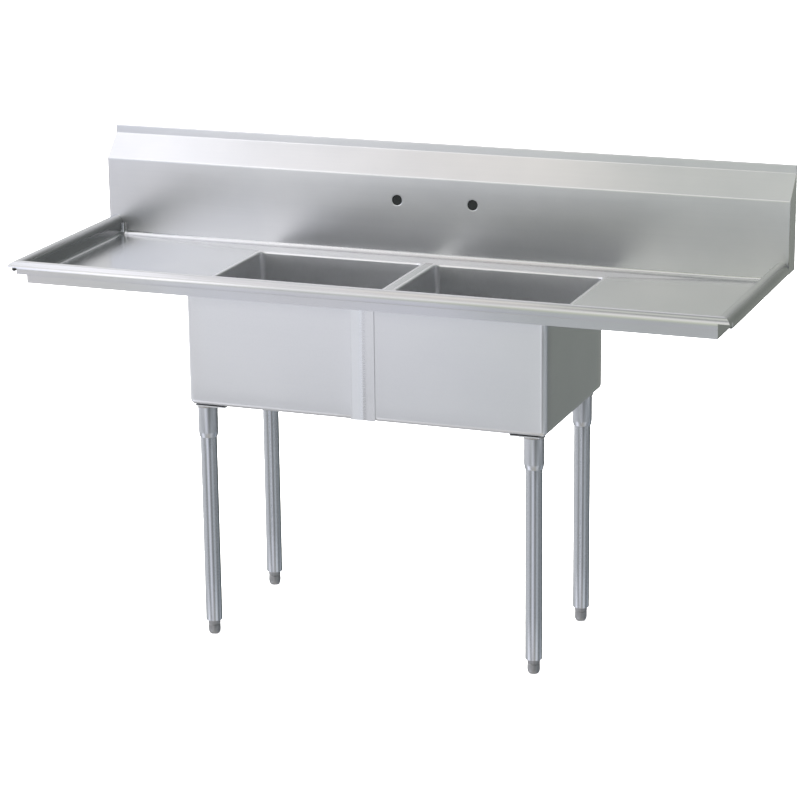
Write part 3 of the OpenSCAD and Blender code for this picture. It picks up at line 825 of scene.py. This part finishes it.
def drainboard_grid(sign, sizes):
    """Drainboard floor with coved edges.

    The floor is the greater of a plane that rises outwards and a plane that rises
    to the splash, blended at their crease. Past the inner lines it climbs on a
    quarter round; where two walls meet, the two climbs are mapped to an eighth of
    a sphere."""
    r = sizes.cove
    x_in, y0, y1 = WALL_X - r, WALL_Y + r, SPLASH_Y - r
    climb = np.linspace(0.0, 1.0, 8)
    xs = np.concatenate([np.linspace(FLANGE_X, x_in, 28), np.full(7, x_in)])
    ax = np.concatenate([np.zeros(28), climb[1:]])
    near = 0.0012
    ridge = FLANGE_Y1 + (SPLASH_Y - FLANGE_Y1) * (xs - FLANGE_X) / (WALL_X - FLANGE_X)
    ridge = np.minimum(ridge, y1 - 2.0 * near)[:, None]
    fore = y0 + (ridge - near - y0) * np.linspace(0.0, 1.0, 22)[None, :]
    aft = ridge + near + (y1 - ridge - near) * np.linspace(0.0, 1.0, 8)[None, :]
    ys = np.concatenate([np.full((35, 7), y0), fore, ridge, aft, np.full((35, 7), y1)], axis=1)
    ay = np.concatenate([-climb[:0:-1], np.zeros(31), climb[1:]])
    sx = np.sin(0.5 * math.pi * ax)[:, None]
    sy = np.sin(0.5 * math.pi * ay)[None, :]
    u = sx * np.sqrt(1.0 - 0.5 * sy ** 2)
    v = sy * np.sqrt(1.0 - 0.5 * sx ** 2)
    h = r * (1.0 - np.sqrt(np.maximum(1.0 - u ** 2 - v ** 2, 0.0)))
    fall = DECK_Z - BOWL_Z
    main = BOWL_Z + fall * (xs[:, None] - FLANGE_X) / (WALL_X - FLANGE_X)
    back = BOWL_Z + fall * (ys - FLANGE_Y1) / (SPLASH_Y - FLANGE_Y1)
    soft = 0.00005
    floor = 0.5 * (main + back + np.sqrt((main - back) ** 2 + soft ** 2) - soft)
    x = xs[:, None] + r * u
    y = ys + r * v
    verts = np.stack([sign * x, y, floor + h], axis=-1)
    return verts, grid_quads(*verts.shape[:2])


def corner_cove(sign, y_wall, into, sizes, top):
    """Upright quarter round that closes the corner between two pan walls."""
    r = sizes.cove
    a = np.linspace(0.0, 0.5 * math.pi, 9)[None, :]
    z = np.linspace(DECK_Z - 0.002, top, 5)[:, None]
    x = sign * (WALL_X - r + r * np.sin(a)) + 0.0 * z
    y = y_wall + into * (r - r * np.cos(a)) + 0.0 * z
    return np.stack([x, y, z + 0.0 * a], axis=-1), grid_quads(5, 9)


class SINK_OT_deck(bpy.types.Operator):
    """Makes the drainboards, back ledge, front ledge and divider cap"""

    bl_idname = "sink.make_deck"
    bl_label = "Deck"

    def execute(self, context):
        sizes = context.scene.sink_sheet
        r, t = sizes.cove, sizes.sheet
        for side, sign in SIDES:
            board = skinned(*drainboard_grid(sign, sizes), t, UP)
            top = RIM_Z - 0.5 * (WALL_Y - FRONT_Y)
            coves = []
            for wall, into in ((WALL_Y, 1.0), (SPLASH_Y, -1.0)):
                cove = corner_cove(sign, wall, into, sizes, top)
                coves.append(skinned(*cove, COVE_SHEET, (-sign, into, 0.0)))
            make_piece(side + "_drainboard_sheet", joined(board, *coves), "sheet_x",
                       side + "_drainboard")
        xs = np.linspace(-FLANGE_X, FLANGE_X, 41)
        fall = (DECK_Z - BOWL_Z) / (SPLASH_Y - FLANGE_Y1)
        a = np.linspace(0.0, 0.5 * math.pi, 9)
        foot = BOWL_Z + fall * (SPLASH_Y - r - FLANGE_Y1)
        cove = np.stack([SPLASH_Y - r + r * np.sin(a), foot + r - r * np.cos(a)], axis=-1)
        rise = np.linspace((FLANGE_Y1, BOWL_Z), (SPLASH_Y - r, foot), 8)
        surface = swept(np.concatenate([rise[:-1], cove]), xs, along_x)
        make_piece("back_ledge_sheet", skinned(*surface, t, UP), "sheet_x", "back_ledge")
        cove = np.stack([WALL_Y + r - r * np.sin(a), BOWL_Z + r - r * np.cos(a)], axis=-1)
        rise = np.array([(FLANGE_Y0, BOWL_Z), (WALL_Y + r + 0.004, BOWL_Z)])
        surface = swept(np.concatenate([rise, cove]), xs, along_x)
        make_piece("front_ledge_sheet", skinned(*surface, t, UP), "sheet_x", "front_ledge")
        half = float(high("divider_cap")[0])
        us = np.linspace(-half, half, 9)
        crown = np.stack([us, BOWL_Z + 0.0002 * (1.0 - (us / half) ** 2)], axis=-1)
        ys = np.linspace(FLANGE_Y0, FLANGE_Y1, 25)
        make_piece("divider_cap_sheet", skinned(*swept(crown, ys, along_y), t, UP), "sheet_y",
                   "divider_cap")
        return {"FINISHED"}


def ring_frame(arc=10, side=12):
    """Directions of a rounded rectangle, once round.

    A point is (half - radius) * sign + radius * direction, so each entry holds
    the sign, which runs from 1 to -1 along the straights, and the direction,
    which turns through a right angle at each corner."""
    signs, dirs = [], []
    corners = np.array([(1, -1), (1, 1), (-1, 1), (-1, -1)], float)
    for k in range(4):
        a = np.linspace(k * 0.5 * math.pi - 0.5 * math.pi, k * 0.5 * math.pi, arc + 1)
        dirs.append(np.stack([np.cos(a), np.sin(a)], axis=-1))
        signs.append(np.repeat(corners[k][None], arc + 1, axis=0))
        t = np.linspace(0.0, 1.0, side + 1)[1:-1, None]
        signs.append(corners[k] + (corners[(k + 1) % 4] - corners[k]) * t)
        dirs.append(np.repeat(dirs[-1][-1:], side - 1, axis=0))
    return np.concatenate(signs), np.concatenate(dirs)


def tub_surface(sign, sheet, tub):
    """Inside of a tub as rings of rounded rectangles, from the flange in, down
    the wall, over the cove and across the floor to the drain hole.

    Each ring has an inset from the outer wall line, a height and a corner radius
    that shrinks with the inset. Over the floor the rings change from rectangle to
    circle while the floor falls."""
    half = 0.5 * (TUB_HI - TUB_LO)[:2]
    ax, ay = half - TUB_FLANGE
    t, rc, e = sheet.sheet, tub.corner, tub.edge
    floor = float(high("front_right_gusset")[2]) + t
    down = np.linspace(0.0, 0.5 * math.pi, 7)
    inset = [np.array([-TUB_FLANGE, -TUB_FLANGE * 0.7, t - e])]
    height = [np.array([BOWL_Z, BOWL_Z, BOWL_Z])]
    inset.append((t - e + e * np.sin(down))[1:])
    height.append((BOWL_Z - e + e * np.cos(down))[1:])
    foot = floor + tub.fall * 0.5 + rc - t
    walls = np.linspace(BOWL_Z - e, foot, 9)[1:]
    inset.append(np.full(len(walls), t))
    height.append(walls)
    under = np.linspace(0.0, 0.5 * math.pi, 11)[1:]
    inset.append(t + (rc - t) * (1.0 - np.cos(under)))
    height.append(foot - (rc - t) * np.sin(under))
    inset, height = np.concatenate(inset), np.concatenate(height)
    radius = np.where(inset <= -TUB_FLANGE + 1e-9, 0.0, rc - inset)
    radius = np.where(height < foot, np.maximum((rc - t) * np.cos(np.arcsin(
        np.clip((foot - height) / (rc - t), 0.0, 1.0))), 0.002), radius)
    signs, dirs = ring_frame()
    size = np.stack([ax - inset, ay - inset], axis=-1)[:, None, :]
    rings = (size - radius[:, None, None]) * signs + radius[:, None, None] * dirs
    last = rings[-1]
    angle = np.arctan2(last[:, 1], last[:, 0])
    circle = np.stack([np.cos(angle), np.sin(angle)], axis=-1)
    w = np.linspace(0.0, 1.0, 10)[1:, None, None]
    across = last * (1.0 - w) + tub.recess * circle * w
    floor_z = height[-1] - tub.fall * w[:, 0, 0]
    bed = floor - tub.recess_depth
    lip = floor_z[-1]
    steps = np.array([tub.recess - 0.0006, tub.recess - 0.0013, tub.recess - 0.0022, 0.0422])
    pressed = steps[:, None, None] * circle
    pressed_z = np.array([lip - 0.0004, 0.5 * (lip + bed), bed, bed])
    plan = np.concatenate([rings, across, pressed])
    z = np.concatenate([height, floor_z, pressed_z])[:, None] + 0.0 * plan[..., 0]
    verts = np.concatenate([plan + np.array([sign * TUB_X, TUB_Y]), z[..., None]], axis=-1)
    return verts, grid_quads(*verts.shape[:2], wrap_cols=True)


class SINK_OT_tubs(bpy.types.Operator):
    """Makes the two tubs and the strips that close the gap between them"""

    bl_idname = "sink.make_tubs"
    bl_label = "Tubs"

    def execute(self, context):
        sheet, tub = context.scene.sink_sheet, context.scene.sink_tub
        for side, sign in SIDES:
            verts, quads = tub_surface(sign, sheet, tub)
            centre = np.array([sign * TUB_X, TUB_Y, BOWL_Z + 0.3])
            shell = skinned(verts, quads, sheet.sheet, lambda p, c=centre: c - p)
            make_piece(side + "_tub_shell", shell, "tub_level", side + "_tub", sharp_deg=38.0)
        for name, node, face in (("front", "front_filler_strip", -1.0), ("rear", "rear_filler_strip", 1.0)):
            lo, hi = low(node), high(node)
            half, t = float(hi[0]), sheet.sheet
            edge = float(lo[1]) if face < 0 else float(hi[1])
            deep = float(hi[1] - lo[1]) - t
            line = turned_line([(-half, 0.0), (-half + 0.004, 0.0), (0.0, deep), (half - 0.004, 0.0),
                                (half, 0.0)], [0.003, 0.012, 0.003], 8)
            zs = np.linspace(float(lo[2]), float(hi[2]), 9)

            def upright(u, v, s, edge=edge, face=face):
                """A profile in plan carried up; v goes in from the face."""
                z = s + 0.0 * u
                return np.stack([u + 0.0 * z, edge - face * v + 0.0 * z, z], axis=-1)

            strip = skinned(*swept(line, zs, upright), t, (0.0, face, 0.0))
            make_piece(name + "_filler_sheet", strip, "tub_level", node)
        return {"FINISHED"}


def weld_ring(x, y, z, radius, size, ripples=44):
    """Weld bead round a socket: a small tube whose radius swells in even ripples
    that lean round the ring."""
    a = np.linspace(0.0, 2.0 * math.pi, 264, endpoint=False)[:, None]
    b = np.linspace(0.0, 2.0 * math.pi, 12, endpoint=False)[None, :]
    swell = size * (0.86 + 0.14 * np.cos(ripples * a + 1.5 * np.sin(b)))
    out = radius + swell * np.cos(b)
    verts = np.stack([x + out * np.cos(a), y + out * np.sin(a), z + swell * np.sin(b) + 0.0 * a], axis=-1)
    return verts, grid_quads(264, 12, wrap_rows=True, wrap_cols=True)


class SINK_OT_legs(bpy.types.Operator):
    """Makes the leg tubes, the tapered sockets with their weld beads and the feet"""

    bl_idname = "sink.make_legs"
    bl_label = "Legs and feet"

    def execute(self, context):
        for leg in LEGS:
            lo, hi = low(leg + "_leg"), high(leg + "_leg")
            x, y, r = 0.5 * float(lo[0] + hi[0]), 0.5 * float(lo[1] + hi[1]), 0.5 * float(hi[0] - lo[0])
            z0, z1, wall = float(lo[2]), float(hi[2]), TUBE_WALL
            tube = turned_line([(r - wall, 0.5 * (z0 + z1)), (r - wall, z0), (r, z0), (r, z1),
                                (r - wall, z1), (r - wall, 0.5 * (z0 + z1))],
                               [0.0006, 0.0007, 0.0007, 0.0006], 4)
            make_piece(leg + "_leg_tube", turned(spread(tube, 0.12)[:-1], x, y, wrap=True), "tube_level",
                       leg + "_leg")
            lo, hi = low(leg + "_socket"), high(leg + "_socket")
            s0, s1, rs, bore = float(lo[2]), float(hi[2]), 0.5 * float(hi[0] - lo[0]), r + 0.00025
            cup = turned_line([(bore, 0.5 * (s0 + s1)), (bore, s0), (bore + 0.0014, s0), (rs, s0 + 0.012),
                               (rs, s1), (bore, s1), (bore, 0.5 * (s0 + s1))],
                              [0.0003, 0.0006, 0.006, 0.0004, 0.0003], 6)
            make_piece(leg + "_socket_sleeve", turned(cup[:-1], x, y, wrap=True), "socket",
                       leg + "_socket")
            make_piece(leg + "_socket_weld", weld_ring(x, y, s1 - 0.0016, rs + 0.0006, 0.0022),
                       "weld_bead", sharp_deg=60.0)
            lo, hi = low(leg + "_bullet_foot"), high(leg + "_bullet_foot")
            rf, f1 = 0.5 * float(hi[0] - lo[0]), float(hi[2])
            foot = turned_line([(0.0, 0.0), (0.0105, 0.0), (rf - 0.0012, 0.0045), (rf, 0.011), (rf, 0.0235),
                                (rf - 0.0012, 0.0245), (rf - 0.0012, 0.0262), (rf, 0.0272), (rf, FOOT_BODY),
                                (0.008, FOOT_BODY), (0.008, f1), (0.0, f1)],
                               [0.0012, 0.004, 0.006, 0.0004, 0.0004, 0.0004, 0.0004, 0.0015, 0.001,
                                0.0015], 6)
            make_piece(leg + "_foot_turned", turned(foot, x, y), "foot",
                       leg + "_bullet_foot", body=leg + "_foot")
            paint_node(leg + "_foot_insert", "foot")
            paint_node(leg + "_gusset", "tub_level")
        paint_node("socket_set_screws", "foot")
        return {"FINISHED"}


class SINK_OT_drains(bpy.types.Operator):
    """Finishes the drains, their gaskets and nuts, the baskets and the stiffeners"""

    bl_idname = "sink.make_drains"
    bl_label = "Drains"

    def execute(self, context):
        for side, _ in SIDES:
            for node, look in (("_drain_body", "polished"), ("_strainer_basket", "polished"),
                               ("_drain_gasket", "rubber"), ("_drain_locknut", "plated"),
                               ("_stiffener", "mill")):
                paint_node(side + node, look)
        return {"FINISHED"}


class SINK_OT_stage(bpy.types.Operator):
    """Lays the pale floor, the soft lights, the surroundings and the camera"""

    bl_idname = "sink.make_stage"
    bl_label = "Stage"

    def execute(self, context):
        scene = context.scene
        scene.view_settings.view_transform = "Standard"
        reach = np.linspace(-FLOOR_REACH, FLOOR_REACH, 15)
        gx, gy = np.meshgrid(reach, reach, indexing="ij")
        verts = np.stack([gx, gy, 0.0 * gx], axis=-1)
        floor = put_mesh("stage_floor", verts, grid_quads(15, 15), outward=False)
        floor.data.materials.append(finish("floor"))
        floor.visible_glossy = False
        light = bpy.data.lights.new("overhead", "AREA")
        light.shape, light.size, light.size_y = "RECTANGLE", OVERHEAD_SIDE, OVERHEAD_SIDE
        light.energy = OVERHEAD_POWER
        lamp = bpy.data.objects.new("overhead", light)
        lamp.location = OVERHEAD_PLACE
        lamp.visible_glossy = False
        scene.collection.objects.link(lamp)
        scene.world = studio_surround()
        soft_panels(scene)
        # Painted shade: a near black disc just behind each faucet hole stands in for the unlit gap behind
        # the splash.
        sheet = scene.sink_sheet
        a = np.linspace(0.0, 2.0 * math.pi, 48, endpoint=False)[None, :]
        r = np.array([0.0, 0.5 * sheet.tap_hole + 0.002])[:, None]
        for side, sign in SIDES:
            verts = np.stack([sign * 0.5 * sheet.tap_centres + r * np.cos(a),
                              SPLASH_Y + sheet.sheet + SHADE_GAP + 0.0 * r * a,
                              RIM_Z + sheet.tap_rise + r * np.sin(a)], axis=-1)
            shade = put_mesh("stage_gap_shade_" + side, verts, grid_quads(2, 48, wrap_cols=True),
                             outward=False)
            shade.data.materials.append(finish("gap_shade"))
            shade.visible_glossy = False
        azimuth, elevation, roll = (math.radians(angle) for angle in CAMERA_ANGLES)
        away = Vector((math.sin(azimuth) * math.cos(elevation), -math.cos(azimuth) * math.cos(elevation),
                       math.sin(elevation)))
        right = Vector((math.cos(azimuth), math.sin(azimuth), 0.0))
        up = away.cross(right)
        across = right * math.cos(roll) + up * math.sin(roll)
        above = up * math.cos(roll) - right * math.sin(roll)
        spot = Vector(CAMERA_TARGET) + away * CAMERA_DISTANCE
        lens = bpy.data.cameras.new("camera")
        lens.sensor_width = SENSOR
        lens.lens = FOCAL_RATIO * SENSOR
        lens.clip_end = 60.0
        camera = bpy.data.objects.new("camera", lens)
        camera.matrix_world = Matrix((
            (across.x, above.x, away.x, spot.x), (across.y, above.y, away.y, spot.y),
            (across.z, above.z, away.z, spot.z), (0.0, 0.0, 0.0, 1.0)))
        scene.collection.objects.link(camera)
        scene.camera = camera
        return {"FINISHED"}


class SINK_PT_panel(bpy.types.Panel):
    """Lists the sink's builders in the sidebar"""

    bl_idname = "SINK_PT_panel"
    bl_label = "Sink"
    bl_space_type = "VIEW_3D"
    bl_region_type = "UI"
    bl_category = "Sink"

    def draw(self, context):
        for group in (context.scene.sink_sheet, context.scene.sink_tub, context.scene.sink_look):
            box = self.layout.box()
            for key in type(group).__annotations__:
                box.prop(group, key)
        for operator in OPERATORS:
            self.layout.operator(operator.bl_idname)


OPERATORS = (SINK_OT_rims, SINK_OT_splash, SINK_OT_deck, SINK_OT_tubs, SINK_OT_legs, SINK_OT_drains,
             SINK_OT_stage)
CLASSES = (SinkSheetSizes, SinkTubSizes, SinkSteelLook) + OPERATORS + (SINK_PT_panel,)


def register():
    """Registers the classes and hangs the property groups on the scene."""
    for cls in CLASSES:
        bpy.utils.register_class(cls)
    bpy.types.Scene.sink_sheet = bpy.props.PointerProperty(type=SinkSheetSizes)
    bpy.types.Scene.sink_tub = bpy.props.PointerProperty(type=SinkTubSizes)
    bpy.types.Scene.sink_look = bpy.props.PointerProperty(type=SinkSteelLook)


def unregister():
    """Takes the property groups and the classes away again."""
    for name in ("sink_sheet", "sink_tub", "sink_look"):
        delattr(bpy.types.Scene, name)
    for cls in reversed(CLASSES):
        bpy.utils.unregister_class(cls)


def main():
    """Registers the add-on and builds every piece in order."""
    register()
    bpy.ops.sink.make_rims()
    bpy.ops.sink.make_splash()
    bpy.ops.sink.make_deck()
    bpy.ops.sink.make_tubs()
    bpy.ops.sink.make_legs()
    bpy.ops.sink.make_drains()
    bpy.ops.sink.make_stage()
    bpy.context.view_layer.update()


if __name__ == "__main__":
    main()
